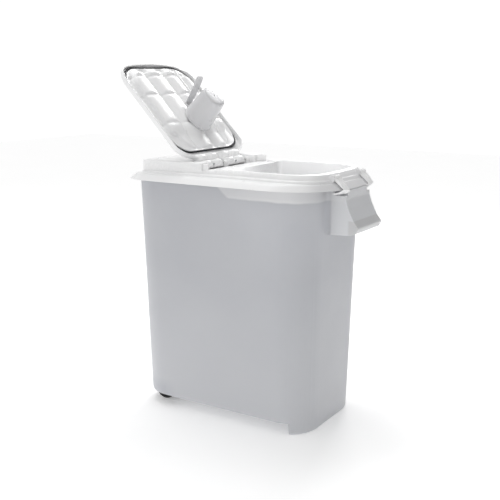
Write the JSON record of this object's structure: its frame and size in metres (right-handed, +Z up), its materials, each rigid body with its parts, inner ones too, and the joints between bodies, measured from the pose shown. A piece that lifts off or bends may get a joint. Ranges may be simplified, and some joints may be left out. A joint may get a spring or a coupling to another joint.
{
  "type": "pet food bin",
  "caption": "Tall tapered food bin on wheels and a moulded foot, with a lift-off lid, hinged sealing flap, hook latches, pull handle and a scoop stored under the flap.",
  "frame": {"origin": "centre of the object's box at floor level, flap open as modelled", "axes": "+X towards the end with the pull handle, +Y across the bin, +Z up"},
  "size_m": [0.5734, 0.317, 0.7667],
  "materials": {
    "tub_plastic": "frosted translucent",
    "white_plastic": "satin",
    "latch_plastic": "satin",
    "scoop_plastic": "smoky translucent",
    "seal_rubber": "matt",
    "wheel_plastic": "matt",
    "steel": "bright zinc"
  },
  "bodies": {
    "bin": {"bin_body": "tub_plastic", "pull_handle": "tub_plastic", "axle": "steel", "push_nut_front": "steel", "push_nut_back": "steel"},
    "lid": {"lid_frame": "white_plastic", "hinge_pin": "steel", "latch_pin_front": "steel", "latch_pin_back": "steel"},
    "flap": {"flap_shell": "white_plastic", "flap_pan": "white_plastic", "flap_gasket": "seal_rubber", "scoop_socket": "white_plastic"},
    "scoop_cup": {"scoop": "scoop_plastic"},
    "clip_front": {"latch_front": "latch_plastic"},
    "clip_back": {"latch_back": "latch_plastic"},
    "roller_front": {"wheel_front": "wheel_plastic"},
    "roller_back": {"wheel_back": "wheel_plastic"}
  },
  "joints": [
    {"name": "lid_lift", "type": "slide", "parent": "bin", "child": "lid", "axis": [0, 0, 1], "range_m": [0, 0.15]},
    {"name": "flap_hinge", "type": "hinge", "parent": "lid", "child": "flap", "pos_m": [-0.07214, 0, 0.55], "axis": [0, 1, 0], "range_deg": [0, 133.8]},
    {"name": "scoop_pull", "type": "slide", "parent": "flap", "child": "scoop_cup", "axis": [0.7218, 0, 0.6921], "range_m": [0, 0.12]},
    {"name": "latch_front_swing", "type": "hinge", "parent": "lid", "child": "clip_front", "pos_m": [0.23598, -0.059, 0.54492], "axis": [0, -1, 0], "range_deg": [0, 100]},
    {"name": "latch_back_swing", "type": "hinge", "parent": "lid", "child": "clip_back", "pos_m": [0.23598, 0.059, 0.54492], "axis": [0, -1, 0], "range_deg": [0, 100]},
    {"name": "wheel_front_spin", "type": "hinge", "parent": "bin", "child": "roller_front", "pos_m": [-0.17734, -0.0865, 0.025], "axis": [0, 1, 0], "continuous": true},
    {"name": "wheel_back_spin", "type": "hinge", "parent": "bin", "child": "roller_back", "pos_m": [-0.17734, 0.0865, 0.025], "axis": [0, 1, 0], "continuous": true}
  ]
}
